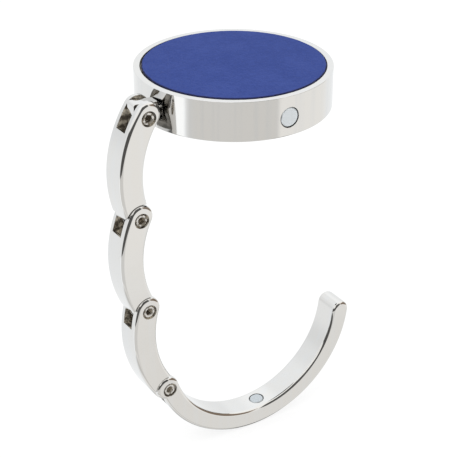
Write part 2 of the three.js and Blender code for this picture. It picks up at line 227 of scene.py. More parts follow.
def mix_colours(bench, factor, first, second):
    """The first colour where the factor is 0 and the second where it is 1. Each may be a wire."""
    ends = [end if isinstance(end, Wire) else (*end, 1) for end in (first, second)]
    inputs = {0: factor, 6: ends[0], 7: ends[1]}
    return bench.add("ShaderNodeMix", {"data_type": "RGBA"}, inputs, output=2)


print("scale for features one millimetre wide:", round(1 / MM), "per metre")

# %% [markdown]
# ## Polished plating
#
# The real metal is cast, polished by hand and plated with nickel, which is a warm light grey.
# It could be a plain mirror, but a perfect mirror looks false: polishing leaves broad shallow waves,
# and use leaves hairlines and a thin haze. The waves go into the bump, very shallow, and haze and
# hairlines into the roughness. The base colour drifts a little between warm and neutral, as thin
# plating does. The disc was polished on a lathe, and its rim keeps faint upright streaks from that.

# %% Polished plating, plain and streaked
nickel_warm = (0.75, 0.735, 0.71)
nickel_cool = (0.745, 0.745, 0.74)
drift_size = 9 * MM
haze_size = 3 * MM
hairline_size = 0.35 * MM
hairline_stretch = (0.25, 1, 6)
wave_size = 5 * MM
wave_depth = 0.02 * MM
streak_size = 1.6 * MM
streak_stretch = (1, 1, 50)
rim_streaks = 0.03


def polished_plating(bench, streak_depth=0.0):
    """Roughness is a base plus shares of haze, hairlines and streaks, and streaks darken too."""
    drift = cloud(bench, drift_size, detail=3)
    haze = cloud(bench, haze_size, detail=4)
    hairlines = cloud(bench, hairline_size, detail=3, stretch=hairline_stretch).step(0.62, 0.72)
    waves = cloud(bench, wave_size, detail=1)
    streaks = cloud(bench, streak_size, detail=3, stretch=streak_stretch).step(0.42, 0.68)
    streaked = tuple(value * (1 - streak_depth) for value in nickel_cool)
    metal = mix_colours(bench, drift, nickel_warm, nickel_cool)
    return {
        "Base Color": mix_colours(bench, streaks, metal, streaked),
        "Metallic": 1,
        "Roughness": 0.035 + haze * 0.05 + hairlines * 0.06 + streaks * streak_depth,
        "Normal": bump(bench, waves + hairlines * 0.02, wave_depth),
    }


plating = make_finish("polished plating", polished_plating)
rim_plating = make_finish("streaked rim plating", polished_plating, rim_streaks)

# %% [markdown]
# ## Dull metal in the recesses
#
# No polishing wheel reaches into the hinge slots and the pin recesses. The plating is thin there
# and a grey-brown film stays, which is why they look dark in the photograph. The film could be
# painted on by hand, but noise gives such patches, and which faces get it is a rule of place.

# %% Dull metal for slots and recesses
film_dark = (0.13, 0.11, 0.085)
film_light = (0.84, 0.77, 0.64)
film_size = 1.1 * MM
grain_size = 0.15 * MM
grain_depth = 0.01 * MM


def dull_metal(bench):
    """A brown film in patches, with grains as a fine bump."""
    film = cloud(bench, film_size)
    return {
        "Base Color": mix_colours(bench, film.step(0.38, 0.66), film_dark, film_light),
        "Metallic": 0.5,
        "Roughness": 0.35 + film * 0.2,
        "Normal": bump(bench, cloud(bench, grain_size), grain_depth),
    }


dull = make_finish("dull recess metal", dull_metal)

# %% [markdown]
# The sides of the swivel block and the parts of the first link next to it are smoother than a
# recess, but they are darker than the polished faces: a thin, even grey film, whose dark tone is
# also painted shade for the narrow gaps between parts where these faces lie.
# The pins' rolled ends are polished by use on their high spots only, so they have patches of film.
# One darker plating could serve both, but it would look painted, so each has its own noise.

# %% Filmed metal with painted shade, and patchy pins
# The grey film's dark tones are painted shade for faces in the gaps between parts.
film_and_shade_tones = (0.1, 0.095, 0.085), (0.24, 0.225, 0.2)
film_and_shade_size = 2.2 * MM
film_and_shade_depth = 0.02 * MM
pin_tones = (0.68, 0.665, 0.64), (0.24, 0.215, 0.175)
pin_patch_size = 0.7 * MM
pin_patch_depth = 0.03 * MM


def film_and_shade_metal(bench):
    """An even film whose tone and roughness follow one cloud; its dark tones are painted shade."""
    film = cloud(bench, film_and_shade_size)
    return {
        "Base Color": mix_colours(bench, film.step(0.3, 0.7), *film_and_shade_tones),
        "Metallic": 1,
        "Roughness": 0.16 + film * 0.12,
        "Normal": bump(bench, film, film_and_shade_depth),
    }


def patchy_metal(bench):
    """Bright metal, and rougher film where the cloud is high."""
    film = cloud(bench, pin_patch_size, detail=3).step(0.46, 0.62)
    return {
        "Base Color": mix_colours(bench, film, *pin_tones),
        "Metallic": 1,
        "Roughness": 0.07 + film * 0.25,
        "Normal": bump(bench, film, pin_patch_depth),
    }


# This finish carries painted shade for faces in the narrow gaps between parts.
film_and_shade = make_finish("filmed metal", film_and_shade_metal)
pin_skin = make_finish("patchy pin metal", patchy_metal)

# %% [markdown]
# ## Leatherette
#
# The inlay is a blue coated cloth, cut with a die and stuck on. Its skin has a fine grain: small
# pebbles, each about a third of a millimetre, with soft creases between them. The pebbles could be
# in the mesh, but they are less than two pixels wide in the photograph, so they are cells in the
# bump. The cut edge shows the pale backing below the blue skin, and the skin is worn dark along it.

# %% Leatherette with a pale cut edge
leather_blue = (0.019, 0.044, 0.222)
leather_light = (0.038, 0.07, 0.285)
leather_gloss = 0.1
leather_edge = (0.02, 0.017, 0.035)
backing_pale = (0.52, 0.49, 0.47)
pebble_size = 0.36 * MM
pebble_depth = 0.03 * MM
mottle_size = 1.1 * MM
patch_size = 6 * MM
skin_blur = 0.03 * MM
fray_width = 0.5 * MM
worn_from = 0.28 * MM
worn_to = 0.1 * MM


def leatherette(bench, skin_bottom, centre, edge_radius):
    """Blue above the height skin_bottom, pale backing below it, and darker round the edge."""
    pebbles = bench.add(
        "ShaderNodeTexVoronoi", {"feature": "SMOOTH_F1"},
        {"Vector": place(bench), "Scale": 1 / pebble_size, "Smoothness": 0.6})
    mottle = cloud(bench, mottle_size, detail=4, roughness=0.65)
    shade = mottle * 0.55 + cloud(bench, patch_size) * 0.3 + pebbles * 0.15
    blue = mix_colours(bench, shade.step(0.3, 0.7), leather_blue, leather_light)
    x, y, height = bench.outputs("ShaderNodeSeparateXYZ", {0: place(bench)}).values()
    away_x, away_y = x - centre.x, y - centre.y
    square = away_x * away_x + away_y * away_y
    radius = square.math("SQRT", square) + (mottle - 0.5) * fray_width
    worn = radius.step(edge_radius - worn_from, edge_radius - worn_to)
    blue = mix_colours(bench, worn * 0.8, blue, leather_edge)
    skin = height.step(skin_bottom - skin_blur, skin_bottom + skin_blur)
    return {
        "Base Color": mix_colours(bench, skin, backing_pale, blue),
        "Specular IOR Level": leather_gloss,
        "Roughness": 0.5 + mottle * 0.2,
        "Normal": bump(bench, 1 - pebbles + mottle * 0.5, pebble_depth, strength=0.6),
    }


print("pebbles across the disc:", round(2 * disc_radius / pebble_size))

# %% [markdown]
# ## Magnets, bare steel, rubber and film
#
# The magnets have a satin nickel skin that looks a little blue beside the warm plating, and the
# bow's magnet has the duller one. The hidden washer, nut and cover are bare steel with fine turning
# marks. The grip pad is black rubber with a pebbled skin, and the two bonding films are cream. Flat
# colours could do for what is hidden, but these pieces are looked at alone too, so each has its
# own marks.

# %% Satin nickel, steel, rubber and film
rim_magnet_tones = (0.74, 0.795, 0.84), (0.82, 0.87, 0.91)
bow_magnet_tones = (0.53, 0.57, 0.6), (0.585, 0.625, 0.65)
steel_tones = (0.36, 0.35, 0.33), (0.5, 0.49, 0.46)
rubber_tones = (0.018, 0.018, 0.02), (0.045, 0.044, 0.042)
cream_tones = (0.72, 0.68, 0.58), (0.82, 0.79, 0.7)
satin_size = 0.5 * MM
satin_depth = 0.004 * MM
turning_mark_size = 0.2 * MM
turning_mark_stretch = (0.5, 4, 1)
turning_mark_depth = 0.006 * MM
rubber_pebble_size = 0.7 * MM
rubber_pebble_depth = 0.08 * MM
dust_size = 4 * MM
film_streak_size = 1.5 * MM
film_streak_depth = 0.01 * MM


def satin_nickel(bench, tones):
    haze = cloud(bench, satin_size, detail=4)
    return {
        "Base Color": mix_colours(bench, haze, *tones),
        "Metallic": 0.85,
        "Roughness": 0.3 + haze * 0.12,
        "Normal": bump(bench, haze, satin_depth),
    }


def bare_steel(bench):
    marks = cloud(bench, turning_mark_size, detail=3, stretch=turning_mark_stretch)
    return {
        "Base Color": mix_colours(bench, marks, *steel_tones),
        "Metallic": 1,
        "Roughness": 0.28 + marks * 0.2,
        "Normal": bump(bench, marks, turning_mark_depth),
    }


def pebbled_rubber(bench):
    pebbles = bench.add(
        "ShaderNodeTexVoronoi", {"feature": "F1"},
        {"Vector": place(bench), "Scale": 1 / rubber_pebble_size})
    dust = cloud(bench, dust_size, detail=4)
    return {
        "Base Color": mix_colours(bench, dust.step(0.45, 0.8), *rubber_tones),
        "Roughness": 0.7 + dust * 0.2,
        "Normal": bump(bench, 1 - pebbles, rubber_pebble_depth, strength=0.7),
    }


def bonding_film(bench):
    streaks = cloud(bench, film_streak_size, detail=3)
    return {
        "Base Color": mix_colours(bench, streaks, *cream_tones),
        "Roughness": 0.4 + streaks * 0.2,
        "Normal": bump(bench, streaks, film_streak_depth),
    }


rim_magnet_skin = make_finish("rim magnet nickel", satin_nickel, rim_magnet_tones)
bow_magnet_skin = make_finish("bow magnet nickel", satin_nickel, bow_magnet_tones)
steel = make_finish("bare steel", bare_steel)
rubber = make_finish("pebbled rubber", pebbled_rubber)
cream_film = make_finish("bonding film", bonding_film)

# %% [markdown]
# ## Surfaces of revolution
#
# The inlay and the pins are turned shapes: a profile of radius and height goes round an axis.
# A Spin or Screw tool could turn it, but as one array of points the shape can still be bent by a
# formula, as the inlay's edge is below. Round edges are quarter circles, and a row of points close
# beside each of them keeps the flat faces flat in the shading.

# %% Turned shapes as numpy surfaces
doubled_within = 1e-7


def quarter(centre_radius, centre_height, radius, start, end, steps=6):
    """Points (c + r cos a, h + r sin a) for angles a from start to end, in degrees."""
    angles = np.radians(np.linspace(start, end, steps + 1))
    return np.stack([
        centre_radius + radius * np.cos(angles), centre_height + radius * np.sin(angles)], axis=1)


def turned_points(profile, turns):
    """Each (radius, height) of the profile at each angle u: (r cos u, r sin u, h)."""
    angles = np.arange(turns) * 2 * math.pi / turns
    radius, height = np.asarray(profile, float).T
    ring = np.stack([np.cos(angles), np.sin(angles), np.zeros(turns)], axis=1)
    points = radius[:, None, None] * ring[None]
    points[..., 2] += height[:, None]
    return points


def grid_mesh(name, points):
    """A mesh from rows of points that close round on themselves; doubled points are merged."""
    rows, turns = points.shape[:2]
    row, turn = np.meshgrid(np.arange(rows - 1), np.arange(turns), indexing="ij")
    following = (turn + 1) % turns
    faces = np.stack([
        row * turns + turn, row * turns + following,
        (row + 1) * turns + following, (row + 1) * turns + turn], axis=-1)
    mesh = bpy.data.meshes.new(name)
    mesh.from_pydata(points.reshape(-1, 3).tolist(), [], faces.reshape(-1, 4).tolist())
    shape = bmesh.new()
    shape.from_mesh(mesh)
    bmesh.ops.remove_doubles(shape, verts=shape.verts, dist=doubled_within)
    bmesh.ops.recalc_face_normals(shape, faces=shape.faces)
    shape.to_mesh(mesh)
    shape.free()
    mesh.shade_smooth()
    return mesh


print("a quarter circle has", len(quarter(0, 0, MM, 0, 90)), "points")

# %% [markdown]
# Every finished mesh goes into the scene in the same way. It stands for one or more solids and
# rides on the body that they belong to. These three calls could be written out for each piece, but
# one function keeps any of them from being forgotten.

# %% Read and number the faces of a mesh, and add a finished piece
def read_array(items, name, width=1, kind=float):
    """One property of all items of a mesh: an array of rows that are so wide, or a flat one."""
    values = np.zeros(len(items) * width, kind)
    items.foreach_get(name, values)
    return values.reshape(-1, width) if width > 1 else values


def face_arrays(mesh):
    """Centres, normals and areas of all faces, as arrays."""
    faces = mesh.polygons
    return read_array(faces, "center", 3), read_array(faces, "normal", 3), read_array(faces, "area")


def face_numbers(mesh):
    """The number of each face's material."""
    return read_array(mesh.polygons, "material_index", kind=np.int32)


def number_faces(mesh, numbers):
    """Gives each face the material of that number."""
    mesh.polygons.foreach_set("material_index", numbers.astype(np.int32))


def add_piece(name, mesh, materials, nodes, body):
    """Puts a finished mesh into the scene: it stands for the nodes and rides on the body."""
    for material in materials:
        mesh.materials.append(material)
    piece = bpy.data.objects.new(name, mesh)
    bpy.context.collection.objects.link(piece)
    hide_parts(*nodes)
    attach(piece, body)
    print(name, "faces:", len(mesh.polygons))
    return piece


print("faces of the bow's solid:", len(face_arrays(frame["nodes"]["hook"].data)[2]))

# %% [markdown]
# ## The true surface of a rounded plate
#
# A link is a plate with one outline, and its front and back edges are rounded. Its solid has flat
# facets, and a mirror shows every one of them. Smooth shading alone could hide them, but it bends
# the reflections. The true surface is known, though: it is a formula. Across the width, the section
# is a flat face, a quarter circle and the outline's wall. Take u as how far a point lies beyond the
# start of the round towards the outline, and v as the same towards the flat face. The surface is
# where (u, v), with negative values set to 0, has the length of the round's radius, and its normal
# points along (u, v). One function can then serve every piece.

# %% Distance and normal for any rounded edge
nearly_zero = 1e-9
chain_edge_round = 0.7 * MM


def rounded_edge(beyond_wall, beyond_face, radius):
    """From u and v: the gap |(u, v)| - r, and the unit vector (u, v) / |(u, v)|."""
    u, v = np.maximum(beyond_wall, 0), np.maximum(beyond_face, 0)
    length = np.maximum(np.hypot(u, v), nearly_zero)
    return length - radius, u / length, v / length


def arc_distance(points, centre, start, radius, first, last):
    """How far points in the XZ plane lie from an arc, and the unit direction away from it.

    The angle of a point round the centre is clamped to the arc, which gives the nearest place:
    radius times (cos, sin) of start + clamped angle. The rest of the vector is the distance.
    """
    x, z = points[:, 0] - centre.x, points[:, 2] - centre.z
    turn = np.arctan2(
        z * math.cos(start) - x * math.sin(start), x * math.cos(start) + z * math.sin(start))
    angle = start + np.clip(turn, first, last)
    away = np.stack([x - radius * np.cos(angle), z - radius * np.sin(angle)], axis=1)
    distance = np.maximum(np.hypot(away[:, 0], away[:, 1]), nearly_zero)
    return distance, away / distance[:, None]


def plate_surface(points, distance, away, thickness):
    """Gap and normal of a plate that is so thick round its spine, with rounded side edges."""
    across = points[:, 1] - chain_y
    gap, to_wall, to_side = rounded_edge(
        distance - (thickness / 2 - chain_edge_round),
        np.abs(across) - (link_width / 2 - chain_edge_round), chain_edge_round)
    normal = np.stack([
        away[:, 0] * to_wall, np.sign(across) * to_side, away[:, 1] * to_wall], axis=1)
    return gap, normal


print("gap of a point on the round:", rounded_edge(chain_edge_round, 0, chain_edge_round)[0])

# %% [markdown]
# When it is folded, the chain makes a ring round the disc, so every link is a piece of one ring,
# and a few radii describe all of them. The centre of a link's ring could be fitted to its solid,
# but the joints give it exactly: both of its pins lie on the pin circle, and that fixes it. The bow
# has one pin only, so its centre comes from that and from its lowest point.

# %% Surfaces of the links and the bow
link_thickness = 5.3 * MM
bow_thickness = 4.3 * MM
folded_gap = 0.85 * MM
pin_inset = 2.4 * MM
ear_lead = 0.55 * MM
ring_inner = disc_radius + folded_gap
link_spine = ring_inner + link_thickness / 2
bow_spine = ring_inner + bow_thickness / 2
pin_circle = ring_inner + pin_inset
ear_lead_angle = math.asin(ear_lead / link_spine)
bow_tip_angle = math.radians(155)


def ring_centre(upper, lower):
    """The middle of both pins, plus a step square to their line, so that both are pin_circle off."""
    half = (lower - upper) / 2
    reach = math.sqrt(pin_circle ** 2 - half.length ** 2)
    return (upper + lower) / 2 + Vector((-half.z, 0, half.x)).normalized() * reach


def link_surface(upper, lower):
    """A surface function for one link: a plate round an arc, from its ear to past its lower pin."""
    centre = ring_centre(upper, lower)
    start = math.atan2(upper.z - centre.z, upper.x - centre.x)
    pitch = 2 * math.asin((lower - upper).length / 2 / pin_circle)

    def surface(points):
        distance, away = arc_distance(points, centre, start, link_spine, -ear_lead_angle, pitch)
        return plate_surface(points, distance, away, link_thickness)

    return surface


def bow_surface():
    """The bow's long arc joined with its round ear: at each point, the one that lies further out."""
    pin = joint_at["hinge_4"]
    drop = pin.z - (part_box("hook")[0].z + ring_inner + bow_thickness)
    centre = Vector((pin.x + math.sqrt(pin_circle ** 2 - drop ** 2), pin.y, pin.z - drop))
    start = math.atan2(drop, pin.x - centre.x)

    def surface(points):
        lead = -ear_lead_angle
        along, away = arc_distance(points, centre, start, bow_spine, lead, bow_tip_angle)
        from_ear, ear_away = arc_distance(points, centre, start, link_spine, lead, lead)
        ear_wins = link_thickness / 2 - from_ear > bow_thickness / 2 - along
        bow_gap, bow_normal = plate_surface(points, along, away, bow_thickness)
        ear_gap, ear_normal = plate_surface(points, from_ear, ear_away, link_thickness)
        return np.where(ear_wins, ear_gap, bow_gap), np.where(
            ear_wins[:, None], ear_normal, bow_normal)

    return surface


print("folded ring across, mm:", round(2 * (ring_inner + link_thickness) / MM, 2))

# %% [markdown]
# ## Finer copies of the cut metal pieces
#
# The links, the bow, the swivel block and the disc have slots, pockets and bores cut into them.
# They could be modelled anew, but every cut would have to be kept in step with its solid, so they
# start from their solids. A copy is merged and its flat triangles are joined. A small bevel takes
# the sharpness off the cut edges. Then every face is split, and the new points that belong to the
# rounded plate are moved onto its formula. That leaves four kinds of faces: the skin, polished
# cuts, dull cuts and the bevels. The material index carries the kind through all steps.

# %% Copy a solid and tell its faces apart
SKIN, CUT, DULL, BEVEL = range(4)
merged_within = 0.5e-6
flat_turn = math.radians(0.3)
skin_tolerance = 0.06 * MM
skin_turn_limit = math.cos(math.radians(40))


def merged_copy(node):
    """The node's mesh with its triangles merged, and those in one plane joined."""
    mesh = frame["nodes"][node].data.copy()
    mesh.materials.clear()
    shape = bmesh.new()
    shape.from_mesh(mesh)
    bmesh.ops.remove_doubles(shape, verts=shape.verts, dist=merged_within)
    bmesh.ops.dissolve_limit(shape, angle_limit=flat_turn, verts=shape.verts, edges=shape.edges)
    shape.to_mesh(mesh)
    shape.free()
    return mesh


def vertex_places(mesh):
    """The places of all vertices, as rows of x, y and z."""
    return read_array(mesh.vertices, "co", 3)


def move_points(mesh, places):
    """Gives all vertices their new places."""
    mesh.vertices.foreach_set("co", places.ravel())
    mesh.update()


def corner_arrays(mesh):
    """For each corner of each face: its vertex and its face."""
    vertex_of = read_array(mesh.loops, "vertex_index", kind=np.int32)
    sizes = read_array(mesh.polygons, "loop_total", kind=np.int32)
    return vertex_of, np.repeat(np.arange(len(sizes)), sizes)


def kinds_of_faces(mesh, surface, is_dull):
    """SKIN where every corner lies on the true surface and the face turns with it."""
    centres, normals, _ = face_arrays(mesh)
    kinds = np.where(is_dull(centres, normals), DULL, CUT)
    if surface:
        vertex_of, face_of = corner_arrays(mesh)
        gap, _ = surface(vertex_places(mesh))
        worst = np.zeros(len(kinds))
        np.maximum.at(worst, face_of, np.abs(gap[vertex_of]))
        _, true_normal = surface(centres)
        agrees = (true_normal * normals).sum(axis=1) > skin_turn_limit
        kinds[(worst < skin_tolerance) & agrees] = SKIN
    return kinds


print("kinds of faces:", {"skin": SKIN, "cut": CUT, "dull": DULL, "bevel": BEVEL})

# %% [markdown]
# A real edge is never quite sharp, and its small round catches the light. The edges could be picked
# and beveled one by one, but the Bevel modifier finds them by their angle and marks the new faces,
# so its result is taken. The faces are split after it, so that the skin has enough points to follow
# its formula.

# %% Bevel, split and straighten
sharp_edge_angle = math.radians(50)
bevel_segments = 2
skin_reach = 1.5 * skin_tolerance


def with_bevels(mesh, width):
    """The mesh after a Bevel modifier on its sharp edges, whose faces get the kind BEVEL."""
    carrier = bpy.data.objects.new("bevel carrier", mesh)
    bpy.context.collection.objects.link(carrier)
    for _ in range(BEVEL + 1):
        mesh.materials.append(None)
    bevel = carrier.modifiers.new("softened edges", "BEVEL")
    bevel.width = width
    bevel.segments = bevel_segments
    bevel.limit_method = "ANGLE"
    bevel.angle_limit = sharp_edge_angle
    bevel.material = BEVEL
    view = bpy.context.evaluated_depsgraph_get()
    result = bpy.data.meshes.new_from_object(carrier.evaluated_get(view))
    bpy.data.objects.remove(carrier)
    return result


def split_faces(mesh, cuts):
    """Triangles, each edge of which is cut into cuts + 1 pieces."""
    shape = bmesh.new()
    shape.from_mesh(mesh)
    bmesh.ops.triangulate(shape, faces=shape.faces)
    if cuts:
        bmesh.ops.subdivide_edges(shape, edges=shape.edges, cuts=cuts, use_grid_fill=True)
    shape.to_mesh(mesh)
    shape.free()


def skin_onto_surface(mesh, kinds, surface):
    """Moves each skin point by its gap along the true normal, and gives the true normals."""
    places = vertex_places(mesh)
    vertex_of, face_of = corner_arrays(mesh)
    on_skin = np.zeros(len(places), bool)
    on_skin[vertex_of[kinds[face_of] == SKIN]] = True
    gap, skin_normal = surface(places)
    move = on_skin & (np.abs(gap) < skin_reach)
    places[move] -= gap[move, None] * skin_normal[move]
    move_points(mesh, places)
    return skin_normal


print("an edge that turns by more than", round(math.degrees(sharp_edge_angle)), "degrees is beveled")

# %% [markdown]
# A smooth reflection needs a true normal at every corner of every face. Skin takes its normal from
# the formula. A cut takes the mean of the cuts round it that turn by less than the limit. A bevel
# takes the skin's normal where it meets skin and the cut's where it meets a cut, so that the
# reflection runs over it without a break. Blender could average the normals by area alone, but then
# each cut would bend the skin beside it. The table of ranks says how much each kind, by row,
# listens to each other kind, by column.

# %% True normals for every corner
rank = np.array([
    [1, 0, 0, 0],
    [0, 1, 1, 0],
    [0, 1, 1, 0],
    [1e6, 1e3, 1e3, 1],
])
shared_turn_limit = math.cos(sharp_edge_angle * 1.2)
own_weight = 1e-12


def corner_normals(mesh, kinds, skin_normal):
    """Sum over the corners at the same vertex of area x rank x normal, for those that agree."""
    vertex_of, face_of = corner_arrays(mesh)
    _, normals, areas = face_arrays(mesh)
    kind_of = kinds[face_of]
    own = np.where((kind_of == SKIN)[:, None], skin_normal[vertex_of], normals[face_of])
    order = np.argsort(vertex_of, kind="stable")
    counts = np.bincount(vertex_of, minlength=len(mesh.vertices))
    first = np.concatenate([[0], np.cumsum(counts)[:-1]])
    count = counts[vertex_of]
    total = own * own_weight
    for step in range(counts.max()):
        partner = order[first[vertex_of] + np.minimum(step, count - 1)]
        agrees = (own[partner] * own).sum(axis=1) > shared_turn_limit
        weight = areas[face_of[partner]] * rank[kind_of, kind_of[partner]]
        weight *= agrees & (step < count)
        total += weight[:, None] * own[partner]
    return total / np.linalg.norm(total, axis=1)[:, None]


def finished_copy(node, surface, is_dull, bevel_width, cuts=0, reshape=None):
    """The whole way from a solid to a finer mesh: kinds, bevels, splits, true places and normals."""
    mesh = merged_copy(node)
    kinds = kinds_of_faces(mesh, surface, is_dull)
    number_faces(mesh, kinds)
    mesh = with_bevels(mesh, bevel_width)
    split_faces(mesh, cuts)
    kinds = face_numbers(mesh)
    skin_normal = np.zeros((len(mesh.vertices), 3))
    if surface:
        skin_normal = skin_onto_surface(mesh, kinds, surface)
    if reshape:
        reshape(mesh)
    mesh.shade_smooth()
    mesh.normals_split_custom_set(corner_normals(mesh, kinds, skin_normal).tolist())
    mesh.materials.clear()
    number_faces(mesh, kinds == DULL)
    counts = np.bincount(kinds, minlength=BEVEL + 1)
    print(node, "skin, cut, dull, bevel faces:", counts.tolist())
    return mesh


print("a bevel listens to skin, cut, dull and bevel by:", rank[BEVEL].tolist())

# %% [markdown]
# ## Links and bow
#
# Each chain piece has a fork at its upper end, whose slot is open on the outer face. The faces of
# the slot and of the pin recesses could be picked one by one, but they are found by where they
# lie: near the upper pin, and between the ears. The narrow sides of the first link's ears that
# face the disc's rim have the thin grey film. It is painted shade for the gap beside the rim, and
# the rim's mirror shows it as a dark band.

# %% Make the three links and the bow
slot_half_width = 1.66 * MM
fork_reach = 6.2 * MM
recess_radius = 1.65 * MM
recess_lip = 0.05 * MM
chain_bevel = 0.09 * MM
chain_cuts = 3
# Where the first link's ears get the grey film as painted shade beside the disc's rim.
film_and_shade_from_pin = 1.7 * MM
film_and_shade_below_disc = 1.2 * MM
FILM_AND_SHADE = 2


def dull_near(pin):
    """A test for faces inside the fork's slot, or inside the pin's recesses and bore."""

    def is_dull(centres, normals):
        across = np.abs(centres[:, 1] - chain_y)
        from_pin = np.hypot(centres[:, 0] - pin.x, centres[:, 2] - pin.z)
        in_slot = (across < slot_half_width) & (from_pin < fork_reach)
        in_recess = (from_pin < recess_radius) & (across < link_width / 2 - recess_lip)
        return in_slot | in_recess

    return is_dull


def chain_piece(node, pin_joint, surface, body):
    """A finer copy of one chain piece, dull near its upper pin, that rides on its body."""
    is_dull = dull_near(joint_at[pin_joint])
    mesh = finished_copy(node, surface, is_dull, chain_bevel, chain_cuts)
    return add_piece(node + "_polished", mesh, [plating, dull, film_and_shade], [node], body)


def film_and_shade_beside_disc(piece, pin):
    """The narrow sides of the ears that face the disc's rim get the dark grey film: painted shade."""
    centres, normals, _ = face_arrays(piece.data)
    from_pin = np.hypot(centres[:, 0] - pin.x, centres[:, 2] - pin.z)
    faces_rim = (normals[:, 0] > 0.35) & (np.abs(normals[:, 1]) < 0.6)
    chosen = face_numbers(piece.data)
    beside = (from_pin > film_and_shade_from_pin) & (centres[:, 2] > disc_low.z - film_and_shade_below_disc)
    chosen[faces_rim & beside] = FILM_AND_SHADE
    number_faces(piece.data, chosen)


link_bodies = ["first_link", "second_link", "third_link"]
for number, body in enumerate(link_bodies, start=1):
    upper, lower = joint_at[f"hinge_{number}"], joint_at[f"hinge_{number + 1}"]
    piece = chain_piece(f"link_{number}", f"hinge_{number}", link_surface(upper, lower), body)
    if number == 1:
        film_and_shade_beside_disc(piece, upper)
chain_piece("hook", "hinge_4", bow_surface(), "bow")

# %% [markdown]
# ## Disc and swivel block
#
# The disc's rim is a cylinder with rounded edges, so the same rule serves it, with the radius in
# the place of the distance from a spine. Its top edge is polished to a crisp line, which the copy
# gets by moving the round's points out to a smaller round. The wall round the inlay moves out a
# little too, so that the lip is as narrow as in the photograph. Both could be new cuts in the
# solid, but a small shift of points is enough. The inside has the grey film, because nobody
# polishes what a cover hides. On the wall round the inlay, which shows, its dark tone is painted
# shade for the gap there.

# %% Make the disc's shell
disc_round = 0.55 * MM
disc_crisp_round = 0.06 * MM
disc_bottom_round = 0.25 * MM
inlay_depth = 1.0 * MM
inlay_floor = disc_top - inlay_depth
seat_inset = 1.7 * MM
seat_radius = disc_radius - seat_inset
seat_widening = 0.4 * MM
lip_radius = seat_radius + seat_widening
seat_wall_reach = 0.15 * MM
seat_wall_foot = 0.2 * MM
inside_reach = 0.1 * MM
inside_below_top = 0.02 * MM
disc_bevel = 0.06 * MM
disc_cuts = 2


def disc_surface(points):
    """u is measured outward from the axis, and v upward or downward from the disc's middle."""
    middle = (disc_low.z + disc_high.z) / 2
    half_height = (disc_high.z - disc_low.z) / 2
    up = points[:, 2] - middle
    radius = np.maximum(np.hypot(points[:, 0], points[:, 1]), nearly_zero)
    edge = np.where(up > 0, disc_round, disc_bottom_round)
    gap, to_wall, to_face = rounded_edge(
        radius - (disc_radius - edge), np.abs(up) - (half_height - edge), edge)
    normal = np.stack([
        points[:, 0] / radius * to_wall, points[:, 1] / radius * to_wall,
        np.sign(up) * to_face], axis=1)
    return gap, normal


def widen_seat(mesh):
    """The upright wall round the inlay moves out from the seat's radius to the lip's."""
    places = vertex_places(mesh)
    radius = np.hypot(places[:, 0], places[:, 1])
    near_wall = np.abs(radius - seat_radius) < seat_wall_reach
    near = near_wall & (places[:, 2] > inlay_floor - seat_wall_foot)
    places[near, :2] *= ((radius[near] + lip_radius - seat_radius) / radius[near])[:, None]
    move_points(mesh, places)
    print("seat wall points moved:", int(near.sum()))


def sharpen_top_edge(mesh):
    """Each point of the top round moves out by (old radius - new radius) x (1 - cos, 1 - sin)."""
    places = vertex_places(mesh)
    radius = np.hypot(places[:, 0], places[:, 1])
    out = radius - (disc_radius - disc_round)
    up = places[:, 2] - (disc_top - disc_round)
    in_round = (out > 0) & (up > 0)
    length = np.maximum(np.hypot(out, up), nearly_zero)
    shift = (disc_round - disc_crisp_round) * in_round
    wider = 1 + shift * (1 - out / length) / np.maximum(radius, nearly_zero)
    places[:, :2] *= wider[:, None]
    places[:, 2] += shift * (1 - up / length)
    move_points(mesh, places)


def inside_disc(centres, normals):
    """Faces below the lip: the inlay's seat with its wall, and everything deeper inside."""
    radius = np.hypot(centres[:, 0], centres[:, 1])
    return (radius < seat_radius + inside_reach) & (centres[:, 2] < disc_high.z - inside_below_top)


def reshape_disc(mesh):
    """Both shifts of points, one after the other."""
    sharpen_top_edge(mesh)
    widen_seat(mesh)


# The grey film inside is painted shade where the wall round the inlay shows.
disc_mesh = finished_copy(
    "disc_body", disc_surface, inside_disc, disc_bevel, disc_cuts, reshape=reshape_disc)
add_piece("disc_shell", disc_mesh, [rim_plating, film_and_shade], ["disc_body"], "disc")

# %% [markdown]
# The swivel block sits deep between the ears, where no wheel reaches its sides, and those have the
# grey film too, as painted shade for the dark gap between the ears. It could keep its solid, but
# its edges would be too sharp. So little of its round parts shows that they need no formula, so it
# gets bevels and nothing more.

# %% Make the swivel block
block_bevel = 0.1 * MM


def block_sides(centres, normals):
    """The block's faces towards the ears, whose grey film is painted shade."""
    return np.abs(normals[:, 1]) > 0.9


block_mesh = finished_copy("swivel_block", None, block_sides, block_bevel)
add_piece("swivel_block_polished", block_mesh, [plating, film_and_shade], ["swivel_block"], "swivel")

# %% [markdown]
# ## Inlay
#
# The inlay is a thin turned disc. Its solid could serve, but a die cuts the real one, so its edge
# isn't a perfect circle: the radius wanders by a few hundredths of a millimetre, and the skin rolls
# over a little at the edge. It is laid by hand, so it lies a little off the middle, and its gap is
# wider on the left.

# %% Make the inlay
inlay_low, inlay_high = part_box("inlay")
inlay_gap = 0.22 * MM
inlay_radius = lip_radius - inlay_gap
inlay_centre = Vector((0.1 * MM, -0.06 * MM))
inlay_turns = 360
inlay_roll = 0.22 * MM
inlay_skin_depth = 0.42 * MM
inlay_foot_flat = 0.2 * MM
inlay_foot_inset = 0.04 * MM
inlay_foot = 0.02 * MM
inlay_top_flat = 0.1 * MM
wander_share = 0.0008
wander_waves = [(1, 23, 0), (0.7, 57, 1), (0.5, 101, 2)]


